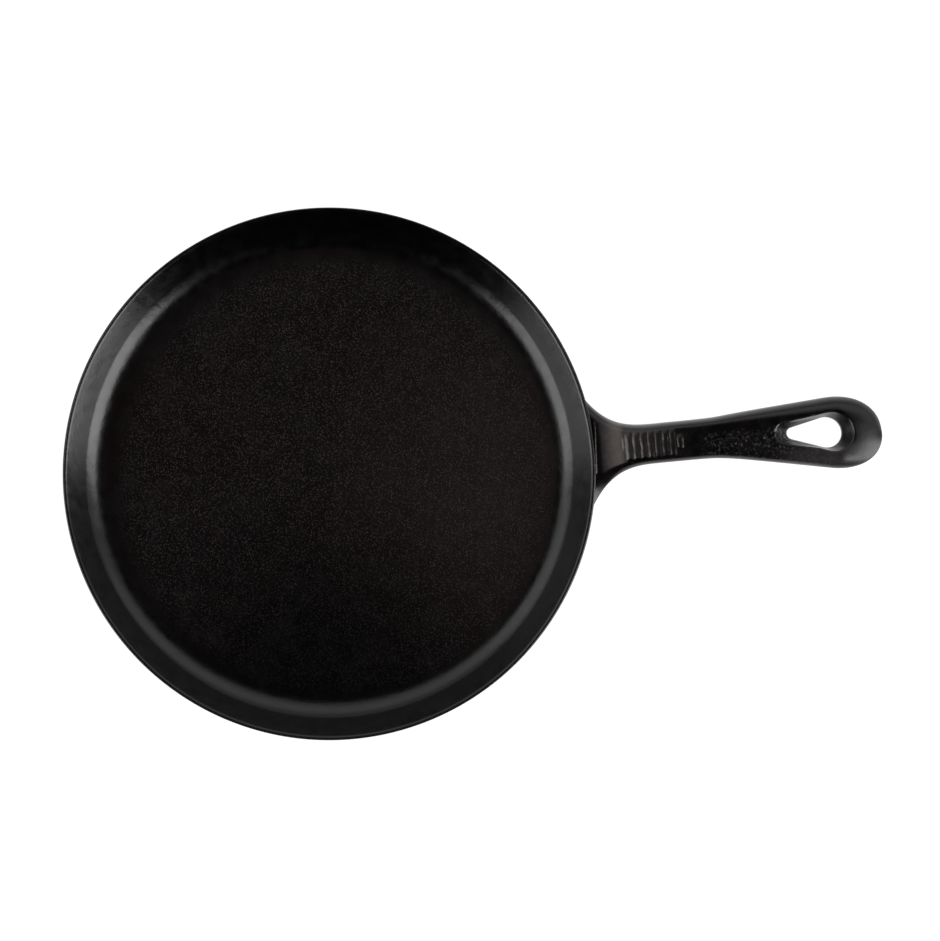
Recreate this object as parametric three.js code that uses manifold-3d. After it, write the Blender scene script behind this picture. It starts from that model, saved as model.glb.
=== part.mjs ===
// Flat iron pan: a round casting with a low flared wall, and a ribbed handle that ends in a hanging eye.
// Millimetres, +Z up. The origin is the middle of the base, and the handle points along +X.

import * as THREE from 'three';
import { mergeVertices } from 'three/addons/utils/BufferGeometryUtils.js';
import Module from 'manifold-3d';

const wasm = await Module();
wasm.setup();

// Pan
const rimRadius = 130;
const rimHeight = 20;
const rimLand = 1.6;           // flat top of the rim
const rimRounding = 0.7;       // outer edge of the rim
const castThickness = 4.5;     // floor and wall alike
const floorFillet = 15;        // inner radius between the floor and the wall
const wallSlope = 50;          // degrees above level

// Handle outline, with lengths counted outwards from the rim
const handleReach = 140.8;
const neckWidth = 19.2;
const neckBlend = 0.7;         // softness of the corner where the neck starts to widen
const backFlare = 10.5;        // what the root adds to the +Y side at the rim
const frontFlare = 13.5;       // what it adds to the -Y side
const flareLength = 32;
const flarePower = 3.2;        // how sharply the flare turns away from the neck
const flareInside = 11;        // how far inside the rim the flare still widens
const gripTaper = 7.8;         // degrees, each side
const gripTurn = 3.6;          // degrees that the grip swings towards -Y
const gripTurnStart = 67;
const gripTurnBlend = 8;
const eyeWidth = 34.9;
const eyeEndLength = 22.8;     // from the widest place to the tip

// Handle side profile
const rootDrop = 6.5;          // from the rim's top to the top of the root inside the wall
const rootLift = 2.5;          // from the base to the underside of the root inside the wall
const rootBlend = 5;           // softness of the bend where the root starts to rise
const rootSlope = 34;          // degrees
const gripSlope = 4;           // degrees
const riseLength = 18;         // how soon the root's slope eases into the grip's
const gripThickness = 11;

// Handle section
const upperShare = 0.5;        // share of the thickness that lies above the widest line
const frontShoulder = 2.8;     // width of the rounded edge beside the flat top, on the -Y side
const backShoulder = 2.7;      // the same at the neck, on the +Y side
const backShoulderGrowth = 0.6; // how much of the grip's widening goes to that edge
const underShoulder = 5.5;     // width of the rounded edge beside the underside
const topFlareShare = 0.3;     // share of the flare that is rounded edge above
const underFlareShare = 0.85;  // share of the flare that is rounded edge below
const leastFlat = 0.2;         // share of the half width that stays flat at the tip
const topCrown = 0.06;         // height of the crown as a share of the flat's half width
const endRounding = 14;        // how far from the tip the top starts to fall
const endPower = 1.5;          // 2 would make that fall elliptical, less makes it straighter

// Thumb ribs and the bead across the root
const ribCount = 9;
const ribPitch = 3.55;
const ribWidth = 3.2;
const ribHeight = 0.6;
const firstRib = 13;
const crestShare = 0.5;        // share of a ridge's width that is its flat crest
const beadPlace = 1.8;
const beadWidth = 1.6;
const beadHeight = 0.7;

// Hanging hole, a tear shape with its round end towards the tip
const holeWidth = 14.9;
const holeTipWidth = 5.4;
const holeLength = 26.3;
const holeEndWall = 20.4;
const holeThroatTop = -1;      // where it starts to open upwards, from the middle of the thickness
const holeOpening = 2.2;       // how far it opens to each side at the top
const holeEndOpening = 5.6;    // how far it opens at both ends

// Where the handle is divided, and what its root clears the wall by
const gripStart = 9;
const eyeStart = 76;
const seatGap = 0.3;

// Facets
const turns = 96;
const arcSteps = 3;
const shoulderSteps = 4;
const topSteps = 4;
const stationStep = 5;
const tipSteps = 10;
const tipShare = 0.5;          // how near the last place is to the tip, as a share of a step
const holeSteps = 12;

const radians = THREE.MathUtils.degToRad;
const quarterTurn = Math.PI / 2;

// Wall section, worked out from the rim inwards
const slope = radians(wallSlope);
const filletRise = floorFillet * (1 - Math.cos(slope));
const wallRun = (rimHeight - castThickness - filletRise) / Math.tan(slope);
const floorRadius = rimRadius - rimLand - wallRun - floorFillet * Math.sin(slope);
const filletCentre = castThickness + floorFillet;

function lathe(path) {
  return new THREE.LatheGeometry(path.getPoints(arcSteps), turns).rotateX(quarterTurn);
}

function floorGeometry() {
  const path = new THREE.Path();
  path.moveTo(0, 0);
  path.lineTo(floorRadius, 0);
  path.lineTo(floorRadius, castThickness);
  path.lineTo(0, castThickness);
  return lathe(path);
}

// The wall's outside from the base to the rim's upright band, grown by a gap
function traceOutside(path, gap) {
  const radius = filletCentre + gap;
  const run = rimRadius + gap - floorRadius - radius * Math.sin(slope);
  const bandFoot = filletCentre - radius * Math.cos(slope) + run * Math.tan(slope);
  path.absarc(floorRadius, filletCentre, radius, -quarterTurn, slope - quarterTurn, false);
  path.lineTo(rimRadius + gap, bandFoot);
}

function wallGeometry() {
  const path = new THREE.Path();
  path.moveTo(floorRadius, 0);
  traceOutside(path, 0);
  path.lineTo(rimRadius, rimHeight - rimRounding);
  path.absarc(rimRadius - rimRounding, rimHeight - rimRounding, rimRounding, 0, quarterTurn, false);
  path.lineTo(rimRadius - rimLand, rimHeight);
  path.absarc(floorRadius, filletCentre, floorFillet, slope - quarterTurn, -quarterTurn, true);
  path.lineTo(floorRadius, 0);
  return lathe(path);
}

// Everything inside the wall's outer surface, grown by the root's clearance
function envelopeGeometry() {
  const path = new THREE.Path();
  path.moveTo(0, -seatGap);
  path.lineTo(floorRadius, -seatGap);
  traceOutside(path, seatGap);
  path.lineTo(rimRadius + seatGap, rimHeight);
  path.lineTo(0, rimHeight);
  return lathe(path);
}

// Goes from 0 to x with a rounded corner
const softRamp = (x, softness) => (x + Math.hypot(x, softness)) / 2;

// Half the width of an ellipse at a distance from its centre
const ellipseHalf = (x, length, half) => half * Math.sqrt(Math.max(0, 1 - (x / length) ** 2));

// Handle outline: a flared neck, and straight sides that run tangent into the elliptical end
const neckHalf = neckWidth / 2;
const eyeHalf = eyeWidth / 2;
const eyeCentre = handleReach - eyeEndLength;
const taper = Math.tan(radians(gripTaper));
const taperHalf = Math.hypot(eyeHalf, taper * eyeEndLength);
const taperEnd = eyeCentre - taper * eyeEndLength ** 2 / taperHalf;

function bodyHalf(s) {
  const x = s - eyeCentre;
  if (s > taperEnd) return ellipseHalf(x, eyeEndLength, eyeHalf);
  return neckHalf + softRamp(taperHalf + taper * x - neckHalf, neckBlend);
}

// Half width on one side, and how far its flat top and its flat underside reach
function side(s, flareWidth, shoulder) {
  const inward = Math.max(0, 1 - Math.max(s, -flareInside) / flareLength);
  const flare = flareWidth * inward ** flarePower;
  const half = bodyHalf(s) + flare;
  const least = leastFlat * half;
  const x = Math.max(0, s - eyeCentre);
  const end = ellipseHalf(x, eyeEndLength - endRounding, eyeHalf - shoulder);
  const flat = Math.max(least, Math.min(end, half - shoulder - topFlareShare * flare));
  const under = Math.max(least, half - underShoulder - underFlareShare * flare);
  return { half, flat, under };
}

const centreY = (s) => -Math.tan(radians(gripTurn)) * softRamp(s - gripTurnStart, gripTurnBlend);

// Handle side profile: a steep root that eases into the grip
const gripRise = Math.tan(radians(gripSlope));
const rootRise = Math.tan(radians(rootSlope));
const rootTop = rimHeight - rootDrop;
const rootThickness = rootTop - rootLift;

const beyondRim = (s) => softRamp(s, rootBlend);
const eased = (s) => 1 - Math.exp(-beyondRim(s) / riseLength);
const thickness = (s) => rootThickness + (gripThickness - rootThickness) * eased(s);

function topHeight(s) {
  return rootTop + gripRise * beyondRim(s) + (rootRise - gripRise) * riseLength * eased(s);
}

// Share of the thickness that is left near the rounded tip
function endFall(s) {
  const inward = Math.min(1, (handleReach - s) / endRounding);
  return (1 - (1 - inward) ** endPower) ** (1 / endPower);
}

// Raised ridges across the top: flat crest, sloping sides
const ridges = [{ place: beadPlace, width: beadWidth, height: beadHeight }];
for (let i = 0; i < ribCount; i += 1) {
  ridges.push({ place: firstRib + i * ribPitch, width: ribWidth, height: ribHeight });
}

function relief(s) {
  const heights = ridges.map(({ place, width, height }) => {
    const inward = 1 - 2 * Math.abs(s - place) / width;
    return height * THREE.MathUtils.clamp(inward / (1 - crestShare), 0, 1);
  });
  return Math.max(...heights);
}

const ridgeEdges = ridges.flatMap(({ place, width }) => {
  return [-1, -crestShare, crestShare, 1].map((share) => place + share * width / 2);
});

// One closed section across the handle, anticlockwise seen from the tip
function section(s) {
  const back = side(s, backFlare, backShoulder + backShoulderGrowth * (bodyHalf(s) - neckHalf));
  const front = side(s, frontFlare, frontShoulder);
  const upper = upperShare * thickness(s);
  const lower = thickness(s) - upper;
  const widest = topHeight(s) - upper;
  const fall = endFall(s);
  const points = [];
  const add = (y, z) => points.push(new THREE.Vector3(rimRadius + s, centreY(s) + y, widest + z));
  const addCorner = (centre, width, height, quarter, first, last) => {
    for (let i = first; i <= last; i += 1) {
      const angle = (quarter + i / shoulderSteps) * quarterTurn;
      add(centre + width * Math.cos(angle), height * fall * Math.sin(angle));
    }
  };
  addCorner(back.flat, back.half - back.flat, upper, 0, 0, shoulderSteps);
  const flatMiddle = (back.flat - front.flat) / 2;
  const flatHalf = (back.flat + front.flat) / 2;
  for (let i = 1; i < topSteps; i += 1) {
    const across = 1 - 2 * i / topSteps;
    add(flatMiddle + flatHalf * across, upper * fall + topCrown * flatHalf * (1 - across ** 2) + relief(s));
  }
  addCorner(-front.flat, front.half - front.flat, upper, 1, 0, shoulderSteps);
  addCorner(-front.under, front.half - front.under, lower, 2, 1, shoulderSteps);
  addCorner(back.under, back.half - back.under, lower, 3, 0, shoulderSteps - 1);
  return points;
}

// Places along the handle, with one at each ridge edge
function stations(from, to) {
  const marks = [from, ...ridgeEdges.filter((s) => s > from && s < to), to];
  return marks.flatMap((mark, i) => {
    const gap = (marks[i + 1] ?? mark) - mark;
    const steps = Math.max(1, Math.ceil(gap / stationStep));
    return Array.from({ length: steps }, (_, k) => mark + gap * k / steps);
  });
}

// Places round the elliptical end, closer together towards the tip
function tipStations() {
  const angles = Array.from({ length: tipSteps }, (_, i) => quarterTurn * (i + 1) / (tipSteps + tipShare));
  return angles.map((angle) => eyeCentre + eyeEndLength * Math.sin(angle));
}

// Closed skin over a row of rings that have the same number of points
function loft(rings) {
  const count = rings[0].length;
  const top = (rings.length - 1) * count;
  const index = [];
  for (let start = 0; start < top; start += count) {
    for (let i = 0; i < count; i += 1) {
      const a = start + i;
      const b = start + (i + 1) % count;
      index.push(a, b, b + count, a, b + count, a + count);
    }
  }
  for (let i = 1; i + 1 < count; i += 1) {
    index.push(0, i + 1, i, top, top + i, top + i + 1);
  }
  return new THREE.BufferGeometry().setFromPoints(rings.flat()).setIndex(index);
}

// Tear-shaped ring round the hanging hole at a level from the middle of the thickness
function holeRing(level) {
  const open = Math.max(0, (level - holeThroatTop) / (gripThickness / 2 - holeThroatTop));
  const endRadius = holeWidth / 2 + holeOpening * open;
  const tipRadius = holeTipWidth / 2 + holeOpening * open;
  const stretch = (holeEndOpening - holeOpening) * open;
  const holeEnd = handleReach - holeEndWall;
  const endCentre = holeEnd - holeWidth / 2 + stretch;
  const tipCentre = holeEnd - holeLength + holeTipWidth / 2 - stretch;
  const tangent = quarterTurn + Math.asin((endRadius - tipRadius) / (endCentre - tipCentre));
  const points = [];
  const addArc = (centre, radius, from, to) => {
    for (let i = 0; i <= holeSteps; i += 1) {
      const angle = from + (to - from) * i / holeSteps;
      const s = centre + radius * Math.cos(angle);
      const y = centreY(s) + radius * Math.sin(angle);
      points.push(new THREE.Vector3(rimRadius + s, y, topHeight(s) - thickness(s) / 2 + level));
    }
  };
  addArc(endCentre, endRadius, -tangent, tangent);
  addArc(tipCentre, tipRadius, tangent, 2 * Math.PI - tangent);
  return points;
}

// The hole is straight below, opens above, and runs on past both faces
function holeGeometry() {
  return loft([-gripThickness, holeThroatTop, gripThickness].map(holeRing));
}

function toManifold(geometry) {
  const bare = new THREE.BufferGeometry();
  bare.setAttribute('position', geometry.getAttribute('position'));
  bare.setIndex(geometry.getIndex());
  const merged = mergeVertices(bare);
  const corners = merged.getIndex().array;
  const triVerts = [];
  for (let i = 0; i < corners.length; i += 3) {
    const [a, b, c] = corners.slice(i, i + 3);
    if (a !== b && b !== c && c !== a) triVerts.push(a, b, c);
  }
  return new wasm.Manifold(new wasm.Mesh({
    numProp: 3,
    vertProperties: merged.getAttribute('position').array,
    triVerts: new Uint32Array(triVerts),
  }));
}

function cut(geometry, tool) {
  const mesh = toManifold(geometry).subtract(toManifold(tool)).getMesh();
  const result = new THREE.BufferGeometry();
  result.setAttribute('position', new THREE.BufferAttribute(mesh.vertProperties, 3));
  result.setIndex(new THREE.BufferAttribute(mesh.triVerts, 1));
  return result;
}

function rootGeometry() {
  const inside = floorRadius - rimRadius;
  return cut(loft([inside, ...stations(-flareInside, gripStart)].map(section)), envelopeGeometry());
}

function gripGeometry() {
  return loft(stations(gripStart, eyeStart).map(section));
}

function eyeGeometry() {
  return cut(loft([...stations(eyeStart, eyeCentre), ...tipStations()].map(section)), holeGeometry());
}

const pan = new THREE.Group();

function addPiece(name, geometry, color, roughness) {
  geometry.computeVertexNormals();
  const piece = new THREE.Mesh(geometry, new THREE.MeshStandardMaterial({ color, roughness, metalness: 0 }));
  piece.name = name;
  pan.add(piece);
}

addPiece('cooking_floor', floorGeometry(), '#1d1917', 0.55);
addPiece('flared_wall', wallGeometry(), '#1c1a19', 0.35);
addPiece('handle_root', rootGeometry(), '#211e1d', 0.42);
addPiece('handle_grip', gripGeometry(), '#1e1b1a', 0.45);
addPiece('hanging_eye', eyeGeometry(), '#211f1e', 0.4);

export default pan;
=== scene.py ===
import math

import bmesh
import bpy
from mathutils import Matrix, Vector, noise


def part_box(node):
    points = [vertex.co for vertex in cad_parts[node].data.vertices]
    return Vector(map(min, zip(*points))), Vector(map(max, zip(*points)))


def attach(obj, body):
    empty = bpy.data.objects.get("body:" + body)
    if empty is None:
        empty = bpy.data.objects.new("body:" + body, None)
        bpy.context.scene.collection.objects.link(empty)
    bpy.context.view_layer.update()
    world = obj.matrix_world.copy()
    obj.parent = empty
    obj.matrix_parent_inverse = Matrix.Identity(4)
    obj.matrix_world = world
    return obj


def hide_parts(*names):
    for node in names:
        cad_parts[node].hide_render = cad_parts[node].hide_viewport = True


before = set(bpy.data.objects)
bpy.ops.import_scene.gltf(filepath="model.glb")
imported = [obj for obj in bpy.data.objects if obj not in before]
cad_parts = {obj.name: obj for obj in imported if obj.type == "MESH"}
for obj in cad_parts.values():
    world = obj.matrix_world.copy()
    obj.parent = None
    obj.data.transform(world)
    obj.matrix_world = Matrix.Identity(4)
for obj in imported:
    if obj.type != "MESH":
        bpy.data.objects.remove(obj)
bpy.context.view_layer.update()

MM = 0.001

# Pan sizes, the main ones from the frame
rim_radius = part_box("flared_wall")[1].y
rim_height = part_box("flared_wall")[1].z
floor_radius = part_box("cooking_floor")[1].y
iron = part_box("cooking_floor")[1].z
wall_slope = math.radians(50)
floor_fillet = 15 * MM
rim_outer_rounding = 0.6 * MM
rim_inner_rounding = 2.2 * MM
band_rounding = 2.5 * MM
seam_radius = floor_radius - 2 * MM
turns = 288
ring_tolerance = 0.02 * MM
weld_distance = 0.001 * MM

# Handle outline, lengths counted outwards from the rim
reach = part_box("hanging_eye")[1].x - rim_radius
neck_half = 9.8 * MM
neck_blend = 0.7 * MM
back_flare, back_flare_power = 12.2 * MM, 3.25
front_flare, front_flare_power = 13.5 * MM, 3.2
flare_length = 32 * MM
flare_inside = 11 * MM
grip_taper = math.tan(math.radians(7.8))
axis_offset = 0.25 * MM
grip_turn = math.tan(math.radians(3.6))
grip_turn_start = 67 * MM
grip_turn_blend = 8 * MM
eye_half = 17.65 * MM
eye_end = 22.8 * MM
tip_length = 21.8 * MM
tip_power = 2.2

# Handle side profile
root_drop = 6.5 * MM
root_blend = 5 * MM
root_rise = math.tan(math.radians(34))
grip_rise = math.tan(math.radians(4))
rise_length = 18 * MM
grip_thickness = 11 * MM

# Handle section: the back edge is rounded more than the front one
upper_share = 0.55
upper_share_swing = 0.15
front_shoulder = 3.2 * MM
front_shoulder_growth, front_growth_length = 3.5 * MM, 18 * MM
back_shoulder = 4.2 * MM
back_shoulder_growth = 0.5
under_shoulder = 5.5 * MM
back_flare_share, front_flare_share = 0.3, 0.47
front_crease_power, front_crease_flare = 1.35, 6 * MM
under_flare_share = 0.85
end_shoulder, end_power = 18 * MM, 1.6
under_end_shoulder, under_end_power = 12 * MM, 2.4
side_power, flare_end_power = 2, 0.9
flare_thinning = 0.75
least_flat = 0.2
top_crown = 0.035

# Rings of the handle's loft: the last one stops just short of the tip
section_steps = 40
station_step = 1.5 * MM
tip_steps = 24
tip_cap = 0.4

# Thumb ribs and the groove before them, the bead across the root, and the grip's rough stretch
rib_count = 8
rib_pitch = 3.55 * MM
rib_height = 0.5 * MM
rib_fall = 0.15
end_rib_height = 0.6 * MM
rib_half_length = 7.6 * MM
end_rib_half_length = 4.2 * MM
rib_back_fade = 4 * MM
rib_front_fade = 1.3 * MM
rib_unevenness = 0.5
rib_wave = 4 * MM
rib_wander = 0.08
rib_seed = 3.7
first_rib = 16.75 * MM
bead_place = 0.15 * MM
bead_lean = 0.06
bead_width = 1.4 * MM
bead_height = 0.7 * MM
bead_half_length = 13.5 * MM
bead_fade = 2.5 * MM
groove_place = 13.3 * MM
groove_middle = 1 * MM
groove_width = 1.4 * MM
groove_depth = 0.25 * MM
groove_half_length = 4 * MM
groove_fade = 2 * MM
pebble_height = 0.32 * MM
pebble_size = 1.2 * MM
pebble_start, pebble_end = 48 * MM, 104 * MM
pebble_fade = 8 * MM
fleck_end = 118 * MM
pebble_back = 3.5 * MM
pebble_edge = 2 * MM
least_upward = 0.2

# Hanging hole
hole_half = 7.4 * MM
hole_tip_half = 2.85 * MM
hole_length = 26.5 * MM
hole_end_wall = 20.55 * MM
hole_shift = 0.25 * MM
hole_throat_top = -1 * MM
hole_opening = 2.2 * MM
hole_end_opening = 5.6 * MM

voxel = 0.45 * MM


def soft_ramp(x, softness):
    return (x + math.hypot(x, softness)) / 2


def smooth_step(x, low, high):
    share = min(1.0, max(0.0, (x - low) / (high - low)))
    return share * share * (3 - 2 * share)


def ellipse_half(x, length, half):
    return half * math.sqrt(max(0.0, 1 - (x / length) ** 2))


eye_centre = reach - eye_end
taper_half = math.hypot(eye_half, grip_taper * eye_end)
widest_flare = front_flare * (1 + flare_inside / flare_length) ** front_flare_power
taper_end = eye_centre - grip_taper * eye_end ** 2 / taper_half


def body_half(s):
    x = s - eye_centre
    if x > 0:
        return eye_half * max(0.0, 1 - (x / tip_length) ** tip_power) ** (1 / tip_power)
    if s > taper_end:
        return ellipse_half(x, eye_end, eye_half)
    return neck_half + soft_ramp(taper_half + grip_taper * x - neck_half, neck_blend)


def half_width(s, flare_width, flare_power):
    """Half width on one side, and the part of it that is the root's flare."""
    flare = flare_width * max(0.0, 1 - max(s, -flare_inside) / flare_length) ** flare_power
    return body_half(s) + flare, flare


def edge_fall(s, across, half, shoulder, power, end_round, tip_fall_power):
    """1 on the flat middle of the handle, falling to 0 at its edge."""
    beyond = s - eye_centre
    if beyond <= 0:
        flat = max(least_flat * half, half - shoulder)
        share = (abs(across) - flat) / (half - flat)
    else:
        along, aside = beyond / tip_length, abs(across) / eye_half
        out = math.hypot(along, aside)
        edge = out / (along ** tip_power + aside ** tip_power) ** (1 / tip_power)
        flat_along, flat_aside = 1 - end_round / tip_length, 1 - shoulder / eye_half
        flat = out / math.hypot(along / flat_along, aside / flat_aside)
        share = (out - flat) / (edge - flat)
        power += (tip_fall_power - power) * (along / out) ** 2
    share = min(1.0, max(0.0, share))
    return (1 - share ** power) ** (1 / power)


def centre_y(s):
    return -axis_offset - grip_turn * soft_ramp(s - grip_turn_start, grip_turn_blend)


def top_height(s):
    beyond = soft_ramp(s, root_blend)
    eased = 1 - math.exp(-beyond / rise_length)
    return rim_height - root_drop + grip_rise * beyond + (root_rise - grip_rise) * rise_length * eased


def section(s):
    back, back_extra = half_width(s, back_flare, back_flare_power)
    front, front_extra = half_width(s, front_flare, front_flare_power)
    back_round = back_shoulder + back_shoulder_growth * (body_half(min(s, eye_centre)) - neck_half)
    grown = smooth_step(s, eye_centre - front_growth_length, eye_centre)
    front_round = front_shoulder + front_shoulder_growth * grown
    points = []
    for i in range(2 * section_steps):
        turn = math.pi * i / section_steps
        top_power = side_power
        if math.cos(turn) > 0:
            half, extra, shoulder = back, back_extra, back_round + back_flare_share * back_extra
        else:
            half, extra, shoulder = front, front_extra, front_round + front_flare_share * front_extra
            top_power += (front_crease_power - side_power) * min(1.0, extra / front_crease_flare)
        across = half * math.cos(turn)
        thin = extra / widest_flare
        full = grip_thickness * (upper_share + upper_share_swing * math.cos(turn))
        upper = full * (1 - flare_thinning * thin)
        if i <= section_steps:
            fall = edge_fall(s, across, half, shoulder, top_power, end_shoulder, end_power)
            z = upper * fall - upper + top_crown * half * math.sin(turn) ** 2
        else:
            power = side_power + (flare_end_power - side_power) * thin
            under = under_shoulder + under_flare_share * extra
            fall = edge_fall(s, across, half, under, power, under_end_shoulder, under_end_power)
            z = (upper - grip_thickness) * fall - upper
        points.append(Vector((rim_radius + s, centre_y(s) + across, top_height(s) + z)))
    return points


def loft(bm, rings):
    """Extrudes a ring of edges from each section to the next and closes both ends."""
    ring = bmesh.ops.create_circle(bm, segments=len(rings[0]), radius=1)["verts"]
    for vert, point in zip(ring, rings[0]):
        vert.co = point
    first = [bm.edges.get((a, b)) for a, b in zip(ring, ring[1:] + ring[:1])]
    edges = first
    for points in rings[1:]:
        grown = bmesh.ops.extrude_edge_only(bm, edges=edges)["geom"]
        fresh = {v for v in grown if isinstance(v, bmesh.types.BMVert)}
        ring = [next(e.other_vert(v) for e in v.link_edges if e.other_vert(v) in fresh) for v in ring]
        for vert, point in zip(ring, points):
            vert.co = point
        edges = [bm.edges.get((a, b)) for a, b in zip(ring, ring[1:] + ring[:1])]
    bmesh.ops.contextual_create(bm, geom=first)
    bmesh.ops.contextual_create(bm, geom=edges)
    bmesh.ops.recalc_face_normals(bm, faces=bm.faces)


def make_object(bm, name):
    mesh = bpy.data.meshes.new(name)
    bm.to_mesh(mesh)
    bm.free()
    piece = bpy.data.objects.new(name, mesh)
    bpy.context.scene.collection.objects.link(piece)
    return piece


def bake_modifiers(piece):
    depsgraph = bpy.context.evaluated_depsgraph_get()
    mesh = bpy.data.meshes.new_from_object(piece.evaluated_get(depsgraph))
    piece.modifiers.clear()
    piece.data = mesh


def discard(obj):
    bpy.data.objects.remove(obj)


# Pan: a sharp profile is spun, then each ring of corners is rounded
tangent = math.tan(wall_slope / 2)
inner_bend = floor_radius + floor_fillet * tangent
outer_bend = floor_radius + (floor_fillet + iron) * tangent
inner_rim = inner_bend + (rim_height - iron) / math.tan(wall_slope)
band_foot = (rim_radius - outer_bend) * math.tan(wall_slope)


def spun(bm, profile, closed):
    verts = [bm.verts.new((r, 0, z)) for r, z in profile]
    pairs = zip(verts, verts[1:] + verts[:1]) if closed else zip(verts, verts[1:])
    edges = [bm.edges.new(pair) for pair in pairs]
    bmesh.ops.spin(bm, geom=verts + edges, axis=(0, 0, 1), angle=math.tau, steps=turns,
                   use_merge=True)
    bmesh.ops.remove_doubles(bm, verts=bm.verts, dist=weld_distance)
    bmesh.ops.recalc_face_normals(bm, faces=bm.faces)


def ring_at(bm, r, z):
    def on_ring(v):
        return max(abs(math.hypot(v.co.x, v.co.y) - r), abs(v.co.z - z)) < ring_tolerance

    return [e for e in bm.edges if all(on_ring(v) for v in e.verts)]


def round_ring(bm, r, z, radius, turn, segments):
    bmesh.ops.bevel(bm, geom=ring_at(bm, r, z), offset=radius * math.tan(turn / 2), offset_type="OFFSET",
                    affect="EDGES", segments=segments, profile=0.5, material=-1)


def flared_wall():
    bm = bmesh.new()
    spun(bm, [(seam_radius, 0), (outer_bend, 0), (rim_radius, band_foot), (rim_radius, rim_height),
              (inner_rim, rim_height), (inner_bend, iron), (seam_radius, iron)], True)
    upright = math.pi / 2
    round_ring(bm, outer_bend, 0, floor_fillet + iron, wall_slope, segments=24)
    round_ring(bm, rim_radius, band_foot, band_rounding, upright - wall_slope, segments=5)
    round_ring(bm, rim_radius, rim_height, rim_outer_rounding, upright, segments=8)
    round_ring(bm, inner_rim, rim_height, rim_inner_rounding, wall_slope, segments=6)
    round_ring(bm, inner_bend, iron, floor_fillet, wall_slope, segments=28)
    for f in bm.faces:
        f.smooth = True
    for z in (0, iron):
        for e in ring_at(bm, seam_radius, z):
            e.smooth = False
    return make_object(bm, "flared_wall_casting")


def cooking_floor():
    bm = bmesh.new()
    spun(bm, [(0, 0), (seam_radius, 0), (seam_radius, iron), (0, iron)], False)
    for f in bm.faces:
        f.smooth = True
    for z in (0, iron):
        for e in ring_at(bm, seam_radius, z):
            e.smooth = False
    return make_object(bm, "cooking_floor_casting")


# Handle
def stations(start, end, step):
    count = max(1, math.ceil((end - start) / step))
    return [start + (end - start) * i / count for i in range(count + 1)]


def handle_blank():
    bm = bmesh.new()
    places = stations(floor_radius - rim_radius, eye_centre, station_step)
    for i in range(tip_steps):
        turn = math.pi / 2 * (i + 1) / (tip_steps + tip_cap)
        places.append(eye_centre + tip_length * math.sin(turn))
    loft(bm, [section(s) for s in places])
    return make_object(bm, "handle_blank")


def hole_ring(level):
    opening = max(0.0, (level - hole_throat_top) / (grip_thickness / 2 - hole_throat_top))
    end_radius = hole_half + hole_opening * opening
    tip_radius = hole_tip_half + hole_opening * opening
    stretch = (hole_end_opening - hole_opening) * opening
    hole_end = reach - hole_end_wall
    end_centre = hole_end - hole_half + stretch
    tip_centre = hole_end - hole_length + hole_tip_half - stretch
    turn = math.pi / 2 + math.asin((end_radius - tip_radius) / (end_centre - tip_centre))
    arcs = [(end_centre, end_radius, -turn, turn), (tip_centre, tip_radius, turn, math.tau - turn)]
    points = []
    steps = 32
    for centre, radius, start, end in arcs:
        for i in range(steps + 1):
            angle = start + (end - start) * i / steps
            s = centre + radius * math.cos(angle)
            points.append(Vector((rim_radius + s, centre_y(s) + hole_shift + radius * math.sin(angle),
                                  top_height(s) - grip_thickness / 2 + level)))
    return points


def hole_cutter():
    bm = bmesh.new()
    loft(bm, [hole_ring(level) for level in (-grip_thickness, hole_throat_top, grip_thickness)])
    return make_object(bm, "hole_cutter")


def wall_core():
    """Everything inside the middle of the wall's thickness, which the handle's root stops at."""
    bm = bmesh.new()
    foot = floor_radius + (floor_fillet + iron / 2) * tangent

    def radius(z):
        return foot + (z - iron / 2) / math.tan(wall_slope)

    low, high = -5 * MM, 18 * MM
    spun(bm, [(0, low), (radius(low), low), (radius(high), high), (0, high)], False)
    return make_object(bm, "wall_core")


def rib_relief(s, across):
    wander = rib_wander * noise.noise(Vector((s / rib_pitch, across / rib_wave, 0)))
    place = (s - first_rib) / rib_pitch + wander
    nearest = round(place)
    if not 0 <= nearest < rib_count:
        return 0.0
    height, half_length = rib_height * (1 - rib_fall * nearest / rib_count), rib_half_length
    if nearest == rib_count - 1:
        height, half_length = end_rib_height, end_rib_half_length
    ends = (smooth_step(half_length - across, 0, rib_back_fade)
            * smooth_step(half_length + across, 0, rib_front_fade))
    uneven = 1 + rib_unevenness * noise.noise(Vector((nearest * rib_seed, across / rib_wave, 1)))
    return height * uneven * ends * (1 - (2 * (place - nearest)) ** 2)


def cross_line(off, width, to_end, fade):
    """1 along a line across the handle, falling to 0 beside it and at its ends."""
    return math.exp(-(2 * off / width) ** 2) * smooth_step(to_end, 0, fade)


def bead_relief(s, across):
    off = s - bead_place - bead_lean * across
    return bead_height * cross_line(off, bead_width, bead_half_length - abs(across), bead_fade)


def groove_relief(s, across):
    to_end = groove_half_length - abs(across - groove_middle)
    return -groove_depth * cross_line(s - groove_place, groove_width, to_end, groove_fade)


def pebble_relief(point, s, across):
    along = (smooth_step(s, pebble_start, pebble_start + pebble_fade)
             * smooth_step(pebble_end - s, 0, pebble_fade))
    to_front = body_half(s) - front_shoulder + across
    inside = (smooth_step(pebble_back - across, 0, pebble_back)
              * smooth_step(to_front, 0, pebble_edge))
    return pebble_height * along * inside * noise.noise(point / pebble_size)


def raise_details(bm):
    """Lifts the ribs, the bead and the pebbled stretch out of the handle's top and sinks the groove."""
    for v in bm.verts:
        if v.normal.z > least_upward:
            s = v.co.x - rim_radius
            across = v.co.y - centre_y(s)
            v.co.z += rib_relief(s, across) + bead_relief(s, across) + groove_relief(s, across)
            v.co.z += pebble_relief(v.co, s, across)


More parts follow.
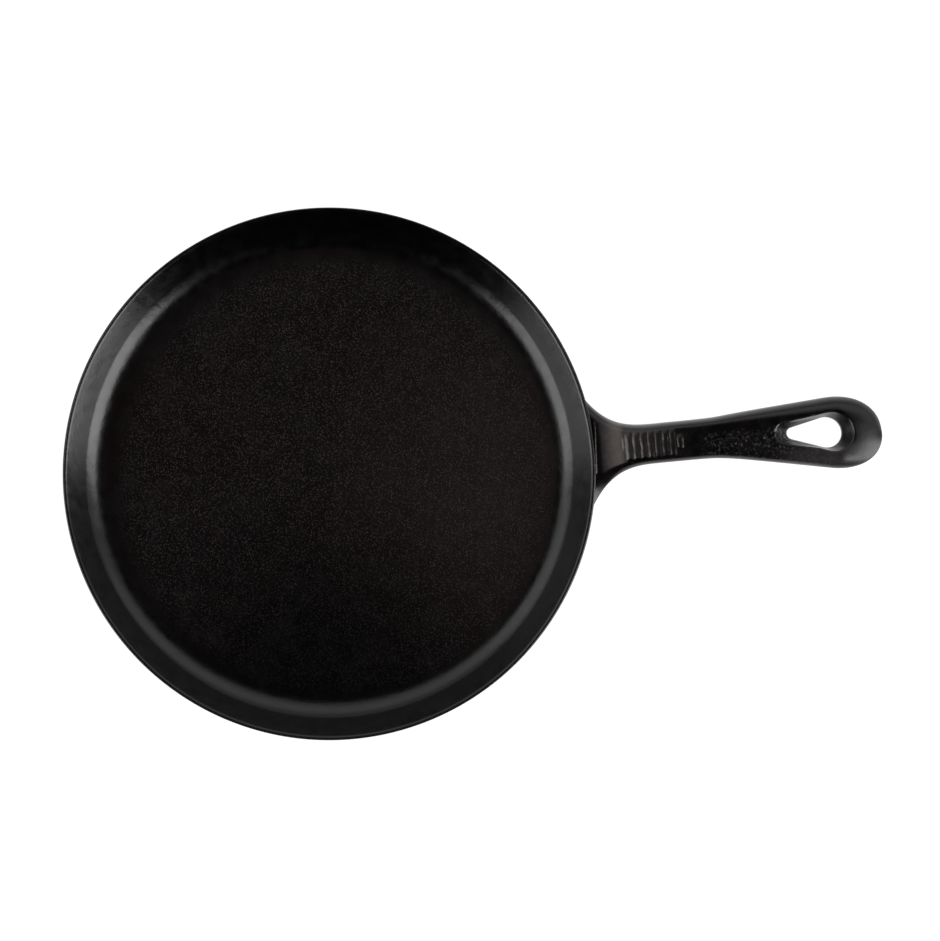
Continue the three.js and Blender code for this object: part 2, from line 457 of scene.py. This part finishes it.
def cast_handle():
    piece = handle_blank()
    cutters = [hole_cutter(), wall_core()]
    for cutter in cutters:
        cut = piece.modifiers.new(cutter.name, "BOOLEAN")
        cut.object = cutter
        cut.operation = "DIFFERENCE"
        cut.solver = "EXACT"
    fuse = piece.modifiers.new("fuse", "REMESH")
    fuse.mode = "VOXEL"
    fuse.voxel_size = voxel
    ease = piece.modifiers.new("ease", "SMOOTH")
    ease.factor = 0.5
    ease.iterations = 8
    bake_modifiers(piece)
    for cutter in cutters:
        discard(cutter)
    bm = bmesh.new()
    bm.from_mesh(piece.data)
    discard(piece)
    bm.normal_update()
    raise_details(bm)
    for f in bm.faces:
        f.smooth = True
    return make_object(bm, "cast_handle")


# Materials
class SeasonedIron:
    """Black seasoned cast iron, built up from noise in the pan's own coordinates."""

    def __init__(self, name):
        self.material = bpy.data.materials.new(name)
        self.material.use_nodes = True
        self.tree = self.material.node_tree
        self.shader = self.tree.nodes["Principled BSDF"]
        coordinates = self.tree.nodes.new("ShaderNodeTexCoord")
        self.place = coordinates.outputs["Object"]
        self.facing = coordinates.outputs["Normal"]
        self.normal = None

    def range_of(self, value, low, high, bottom=0.0, top=1.0):
        spread = self.tree.nodes.new("ShaderNodeMapRange")
        spread.interpolation_type = "SMOOTHSTEP"
        for name, limit in (("From Min", low), ("From Max", high), ("To Min", bottom), ("To Max", top)):
            spread.inputs[name].default_value = limit
        self.tree.links.new(value, spread.inputs["Value"])
        return spread.outputs["Result"]

    def grain(self, size, detail=2.0):
        texture = self.tree.nodes.new("ShaderNodeTexNoise")
        texture.inputs["Scale"].default_value = 1 / size
        texture.inputs["Detail"].default_value = detail
        self.tree.links.new(self.place, texture.inputs["Vector"])
        return texture.outputs["Fac"]

    def specks(self, size, reach, core):
        """Scattered round specks: 1 within the core of a speck, 0 beyond its reach."""
        cells = self.tree.nodes.new("ShaderNodeTexVoronoi")
        cells.inputs["Scale"].default_value = 1 / size
        self.tree.links.new(self.place, cells.inputs["Vector"])
        return self.range_of(cells.outputs["Distance"], reach, core)

    def distance_from(self, point):
        distance = self.tree.nodes.new("ShaderNodeVectorMath")
        distance.operation = "DISTANCE"
        self.tree.links.new(self.place, distance.inputs[0])
        distance.inputs[1].default_value = point
        return distance.outputs["Value"]

    def axis(self, vector, name):
        split = self.tree.nodes.new("ShaderNodeSeparateXYZ")
        self.tree.links.new(vector, split.inputs[0])
        return split.outputs[name]

    def times(self, first, second):
        product = self.tree.nodes.new("ShaderNodeMath")
        product.operation = "MULTIPLY"
        self.tree.links.new(first, product.inputs[0])
        self.tree.links.new(second, product.inputs[1])
        return product.outputs[0]

    def mix(self, amount, first, second):
        mix = self.tree.nodes.new("ShaderNodeMix")
        mix.data_type = "FLOAT"
        for value, socket in zip((amount, first, second), mix.inputs[0:1] + mix.inputs[2:4]):
            self.tree.links.new(value, socket)
        return mix.outputs[0]

    def shade(self, amount, first, second):
        mix = self.tree.nodes.new("ShaderNodeMix")
        mix.data_type = "RGBA"
        self.tree.links.new(amount, mix.inputs[0])
        for socket, colour in ((mix.inputs[6], first), (mix.inputs[7], second)):
            if isinstance(colour, tuple):
                socket.default_value = (*colour, 1)
            else:
                self.tree.links.new(colour, socket)
        return mix.outputs[2]

    def sheen(self, size, least, most):
        """Roughness that wanders between two values."""
        return self.range_of(self.grain(size, detail=3), 0.3, 0.7, least, most)

    def relief(self, height, depth):
        """Adds fine bumps to those that the surface already has."""
        bump = self.tree.nodes.new("ShaderNodeBump")
        bump.inputs["Strength"].default_value = 1
        bump.inputs["Distance"].default_value = depth
        self.tree.links.new(height, bump.inputs["Height"])
        if self.normal:
            self.tree.links.new(self.normal, bump.inputs["Normal"])
        self.normal = bump.outputs["Normal"]
        self.tree.links.new(self.normal, self.shader.inputs["Normal"])

    def finish(self, colour, roughness):
        self.tree.links.new(colour, self.shader.inputs["Base Color"])
        self.tree.links.new(roughness, self.shader.inputs["Roughness"])
        return self.material


sand_middle = (3 * MM, -2 * MM, iron)
sand_core, sand_reach = 100 * MM, 112 * MM
smooth_start, smooth_end = floor_radius + 1 * MM, floor_radius + 5 * MM
# Painted shade: the floor darkens towards its lower left, where the wall shades it.
dark_middle = (-20 * MM, -110 * MM, iron)
# Painted light: the floor turns greyer to the right, where the lamps light it more.
painted_light_middle = (98 * MM, -12 * MM, iron)
dark_reach, dark_core = 125 * MM, 20 * MM
painted_light_reach, painted_light_core = 125 * MM, 10 * MM
floor_black, floor_brown = (0.0032, 0.0023, 0.0024), (0.0038, 0.0022, 0.0019)
# Grey of the painted light on the right of the floor
painted_light_grey = (0.0105, 0.0078, 0.0073)
# Black of the painted shade towards the floor's lower left
painted_shade_black = (0.0004, 0.0002, 0.0002)
# Flecks of the sandy grain, lightened as painted glints
sand_and_glint_grey = (0.045, 0.034, 0.033)
wall_black, wall_grey = (0.0002, 0.0002, 0.0002), (0.0006, 0.0005, 0.0005)


def pan_iron(name):
    """A sandy brown-black floor that turns into the smoother black wall across the fillet, with painted
    shade to the floor's lower left, painted light to its right and flecks lightened as painted glints.
    """
    skin = SeasonedIron(name)
    from_middle = skin.distance_from((0, 0, 0))
    smooth = skin.range_of(from_middle, smooth_start, smooth_end)
    sandy = skin.range_of(skin.distance_from(sand_middle), sand_reach, sand_core)
    from_dark = skin.distance_from(dark_middle)
    # Painted light to the right of the floor
    painted_light_area = skin.range_of(skin.distance_from(painted_light_middle), painted_light_reach, painted_light_core)

    tint = skin.range_of(skin.grain(60 * MM, detail=3), 0.35, 0.65)
    plain_floor = skin.shade(tint, floor_black, floor_brown)
    # Painted light greys the floor to the right
    painted_light_floor = skin.shade(painted_light_area, plain_floor, painted_light_grey)
    # Painted shade darkens the floor towards its lower left
    painted_shade_mask = skin.range_of(from_dark, dark_reach, dark_core)
    floor = skin.shade(painted_shade_mask, painted_light_floor, painted_shade_black)
    clumps = skin.range_of(skin.grain(5 * MM), 0.3, 0.7, bottom=0.5)
    # Fewer flecks inside the painted shade
    off_painted_shade = skin.range_of(from_dark, dark_core, dark_reach, bottom=0.25)
    sparse = skin.times(off_painted_shade, skin.times(sandy, clumps))
    # Sand flecks, lightened as painted glints
    flecks = skin.times(skin.specks(1 * MM, reach=0.5, core=0.1), sparse)
    sandy_floor = skin.shade(flecks, floor, sand_and_glint_grey)
    patches = skin.range_of(skin.grain(20 * MM, detail=4), 0.4, 0.7)
    wall = skin.shade(patches, wall_black, wall_grey)

    skin.relief(skin.times(skin.grain(1.1 * MM, detail=1), sandy), depth=0.15 * MM)
    skin.relief(skin.grain(4 * MM), depth=0.06 * MM)
    skin.relief(skin.grain(1.2 * MM), depth=0.03 * MM)
    floor_sheen = skin.sheen(9 * MM, 0.24, 0.29)
    wall_sheen = skin.sheen(6 * MM, 0.2, 0.27)
    return skin.finish(skin.shade(smooth, sandy_floor, wall), skin.mix(smooth, floor_sheen, wall_sheen))


# The grey of the root and ribs fades to black towards the wall as painted shade in the corner.
root_start, root_end = rim_radius - 1 * MM, rim_radius + 10 * MM
# Painted highlight: the pale stretch of the root where its slope catches the light.
pale_start, pale_full = rim_radius + 4 * MM, rim_radius + 12 * MM
pale_fade, pale_end = rim_radius + 12.5 * MM, rim_radius + 15.5 * MM
# Grey of the ribs: part wear, part painted light
bare_and_painted_light_start, bare_and_painted_light_end = rim_radius + 10 * MM, rim_radius + 50 * MM
limb_start, limb_end = rim_radius + 80 * MM, rim_radius + 104 * MM
limb_inner, limb_outer = -7 * MM, -11 * MM
matt_start, matt_end = rim_radius + 120 * MM, rim_radius + 134 * MM
# Slopes facing the front keep the black as painted shade
front_facing, up_facing = -0.3, -0.08
satin_black, satin_brown = (0.0006, 0.0004, 0.00035), (0.0018, 0.0011, 0.0009)
# Rib grey: part wear, part painted light
rib_grey = (0.022, 0.0172, 0.0158)
# Colour of the painted highlight on the root
root_painted_light = (0.09, 0.076, 0.071)
limb_grey = (0.019, 0.0165, 0.017)
fleck_grey = (0.045, 0.038, 0.038)


def handle_iron(name):
    """Satin black, grey on the ribs as part wear and part painted light, a painted highlight on the
    root, painted shade towards the wall and on front-facing slopes, rough along the front half of the
    grip.
    """
    skin = SeasonedIron(name)
    along, across = skin.axis(skin.place, "X"), skin.axis(skin.place, "Y")
    start, end = rim_radius + pebble_start, rim_radius + fleck_end
    stretch = skin.times(skin.range_of(along, start, start + pebble_fade),
                         skin.range_of(along, end, end - pebble_fade))
    rough = skin.times(stretch, skin.range_of(across, pebble_back, 0))
    # Painted shade: surfaces that face the front stay black
    off_front = skin.range_of(skin.axis(skin.facing, "Y"), front_facing, up_facing)
    # Painted shade towards the wall, and on front-facing slopes
    open_face = skin.times(skin.range_of(along, root_start, root_end), off_front)
    # Grey on the ribs: part wear, part painted light
    bare_and_painted_light = skin.times(skin.range_of(along, bare_and_painted_light_end, bare_and_painted_light_start), open_face)
    # Painted highlight along the root
    painted_light_area = skin.times(skin.range_of(along, pale_start, pale_full),
                      skin.range_of(along, pale_end, pale_fade))
    pale = skin.times(painted_light_area, off_front)
    matt = skin.range_of(along, matt_start, matt_end)
    limb = skin.times(skin.range_of(along, limb_start, limb_end),
                      skin.range_of(across, limb_inner, limb_outer))

    patches = skin.range_of(skin.grain(14 * MM, detail=4), 0.4, 0.7)
    satin = skin.shade(patches, satin_black, satin_brown)
    # Grey ribs, part wear and part painted light
    ribbed = skin.shade(bare_and_painted_light, satin, rib_grey)
    # Painted highlight on the root
    rooted = skin.shade(pale, ribbed, root_painted_light)
    greyer = skin.shade(limb, rooted, limb_grey)
    flecks = skin.times(skin.range_of(skin.grain(1.2 * MM), 0.54, 0.74), rough)

    skin.relief(skin.grain(3 * MM), depth=0.04 * MM)
    skin.relief(skin.grain(1.1 * MM), depth=0.03 * MM)
    skin.relief(skin.times(skin.grain(1 * MM), rough), depth=0.15 * MM)
    satin_sheen = skin.sheen(5 * MM, 0.24, 0.31)
    grey_sheen = skin.sheen(4 * MM, 0.25, 0.32)
    matt_sheen = skin.sheen(4 * MM, 0.33, 0.39)
    sheen = skin.mix(matt, skin.mix(bare_and_painted_light, satin_sheen, grey_sheen), matt_sheen)
    return skin.finish(skin.shade(flecks, greyer, fleck_grey), sheen)


for piece, slot, iron_skin, nodes in (
    (cooking_floor(), "floor_iron", pan_iron, ["cooking_floor"]),
    (flared_wall(), "wall_iron", pan_iron, ["flared_wall"]),
    (cast_handle(), "handle_iron", handle_iron, ["handle_root", "handle_grip", "hanging_eye"]),
):
    piece.data.materials.clear()
    piece.data.materials.append(iron_skin(slot))
    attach(piece, "root")
    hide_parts(*nodes)

# Studio, laid out along the picture's own right and up directions
picture_turn = math.radians(5.4)
picture_right = Vector((math.cos(picture_turn), -math.sin(picture_turn), 0))
picture_up = Vector((math.sin(picture_turn), math.cos(picture_turn), 0))


def studio_direction(azimuth, elevation):
    a, e = math.radians(azimuth), math.radians(elevation)
    level = picture_right * math.cos(a) + picture_up * math.sin(a)
    return level * math.cos(e) + Vector((0, 0, math.sin(e)))


def softbox(name, azimuth, elevation, distance, width, height, radiance):
    lamp = bpy.data.lights.new(name, "AREA")
    lamp.shape = "RECTANGLE"
    lamp.size, lamp.size_y = width, height
    lamp.energy = radiance * math.pi * width * height
    box = bpy.data.objects.new(name, lamp)
    direction = studio_direction(azimuth, elevation)
    box.location = direction * distance
    box.rotation_euler = direction.to_track_quat("Z", "Y").to_euler()
    box.visible_camera = False
    bpy.context.scene.collection.objects.link(box)


softbox("right_softbox", -20.5, 25, distance=0.8, width=0.56, height=0.74, radiance=4.9)
softbox("left_softbox", 200, 23, distance=0.8, width=0.54, height=0.68, radiance=3.4)
softbox("side_softbox", 155, 30, distance=0.8, width=0.5, height=0.7, radiance=0.45)
softbox("back_softbox", 97, 46, distance=0.75, width=3.0, height=0.5, radiance=0.5)

# White ground, just under the base
ground_radius, ground_drop = 6, 0.05 * MM
bounce_white, shadow_white, glow_level = 0.8, 0.2, 0.94


def diffuse(nodes, value):
    shader = nodes.new("ShaderNodeBsdfDiffuse")
    shader.inputs["Color"].default_value = (value, value, value, 1)
    return shader.outputs[0]


def combined(tree, operation, first, second):
    node = tree.nodes.new("ShaderNodeMath")
    node.operation = operation
    tree.links.new(first, node.inputs[0])
    tree.links.new(second, node.inputs[1])
    return node.outputs[0]


def blend(tree, amount, first, second, output):
    mix = tree.nodes.new("ShaderNodeMixShader")
    for value, socket in zip((amount, first, second), mix.inputs):
        tree.links.new(value, socket)
    tree.links.new(mix.outputs[0], tree.nodes.new(output).inputs["Surface"])


def white_paper():
    """White where it is seen or mirrored, with a soft shadow, and plain paper to the other light."""
    paper = bpy.data.materials.new("white_paper")
    paper.use_nodes = True
    tree = paper.node_tree
    tree.nodes.clear()
    path = tree.nodes.new("ShaderNodeLightPath").outputs
    seen = combined(tree, "MAXIMUM", path["Is Camera Ray"], path["Is Glossy Ray"])
    seen = combined(tree, "MAXIMUM", seen, path["Is Transmission Ray"])
    glow = tree.nodes.new("ShaderNodeEmission")
    glow.inputs["Strength"].default_value = glow_level
    lit = tree.nodes.new("ShaderNodeAddShader")
    tree.links.new(diffuse(tree.nodes, shadow_white), lit.inputs[0])
    tree.links.new(glow.outputs[0], lit.inputs[1])
    bounce = diffuse(tree.nodes, bounce_white)
    blend(tree, seen, bounce, lit.outputs[0], "ShaderNodeOutputMaterial")
    return paper


bm = bmesh.new()
bmesh.ops.create_circle(bm, cap_ends=True, segments=64, radius=ground_radius,
                        matrix=Matrix.Translation((0, 0, -ground_drop)))
ground = make_object(bm, "ground")
ground.data.materials.append(white_paper())

# Dim sky, darkest straight above and towards the picture's lower edge, white to the camera
front_dark, front_full = -0.5, -0.1
overhead_dark, overhead_full = 0.80, 0.66
sky_level, sky_least = 0.45, 0.006


def fade(tree, value, dark, full):
    spread = tree.nodes.new("ShaderNodeMapRange")
    spread.interpolation_type = "SMOOTHSTEP"
    spread.inputs["From Min"].default_value = dark
    spread.inputs["From Max"].default_value = full
    tree.links.new(value, spread.inputs["Value"])
    return spread.outputs[0]


def white_sky(tree):
    sky = tree.nodes.new("ShaderNodeBackground")
    sky.inputs["Color"].default_value = (1, 1, 1, 1)
    return sky


def studio_sky():
    world = bpy.data.worlds.new("studio")
    world.use_nodes = True
    tree = world.node_tree
    tree.nodes.clear()
    place = tree.nodes.new("ShaderNodeTexCoord")
    turned = tree.nodes.new("ShaderNodeMapping")
    turned.inputs["Rotation"].default_value = (0, 0, picture_turn)
    tree.links.new(place.outputs["Generated"], turned.inputs["Vector"])
    split = tree.nodes.new("ShaderNodeSeparateXYZ")
    tree.links.new(turned.outputs[0], split.inputs[0])
    front = fade(tree, split.outputs["Y"], front_dark, front_full)
    overhead = fade(tree, split.outputs["Z"], overhead_dark, overhead_full)
    level = tree.nodes.new("ShaderNodeMath")
    level.operation = "MULTIPLY_ADD"
    tree.links.new(combined(tree, "MULTIPLY", front, overhead), level.inputs[0])
    level.inputs[1].default_value = sky_level
    level.inputs[2].default_value = sky_least
    dim = white_sky(tree)
    tree.links.new(level.outputs[0], dim.inputs["Strength"])
    path = tree.nodes.new("ShaderNodeLightPath")
    blend(tree, path.outputs["Is Camera Ray"], dim.outputs[0], white_sky(tree).outputs[0],
          "ShaderNodeOutputWorld")
    return world


bpy.context.scene.world = studio_sky()

# Camera, almost straight above, with the pan where the photograph has it
image_height = 941
image_middle = (470, 470.5)
pan_pixel = (329.15, 473.49)
rim_pixels = 266.6
pixel = rim_radius / rim_pixels
camera_distance = 2.5
camera_tilt = math.radians(1.5)
aim = (picture_right * (image_middle[0] - pan_pixel[0]) * pixel
       - picture_up * (image_middle[1] - pan_pixel[1]) * pixel + Vector((0, 0, rim_height)))
back = -picture_up * math.sin(camera_tilt) + Vector((0, 0, math.cos(camera_tilt)))
upward = picture_up * math.cos(camera_tilt) + Vector((0, 0, math.sin(camera_tilt)))
camera = bpy.data.objects.new("camera", bpy.data.cameras.new("camera"))
camera.data.lens = camera.data.sensor_width * camera_distance / (image_height * pixel)
axes = Matrix((picture_right, upward, back)).transposed()
camera.matrix_world = Matrix.Translation(aim + back * camera_distance) @ axes.to_4x4()
bpy.context.scene.collection.objects.link(camera)
bpy.context.scene.camera = camera
bpy.context.scene.view_settings.view_transform = "Standard"

bpy.context.view_layer.update()
